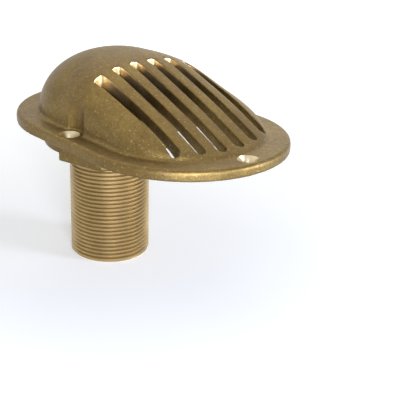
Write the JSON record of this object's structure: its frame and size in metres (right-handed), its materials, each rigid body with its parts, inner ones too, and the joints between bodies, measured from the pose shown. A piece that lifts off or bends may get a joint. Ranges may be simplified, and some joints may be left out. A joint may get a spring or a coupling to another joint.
{
  "type": "through-hull intake strainer",
  "caption": "Cast bronze through-hull intake strainer: racetrack flange with countersunk screw holes, slotted scoop hood and a hollow threaded stem.",
  "frame": {"origin": "on the axis of the stem's bore, in the plane of the flange's underside, which lies on the hull", "axes": "+Z away from the hull, on the hood's side; +X from the stem towards the slotted tip of the hood"},
  "size_m": [0.156, 0.102, 0.1127],
  "materials": {
    "cast_bronze": "sand-cast, satin"
  },
  "bodies": {
    "root": {"strainer_body": "cast_bronze"}
  },
  "joints": []
}
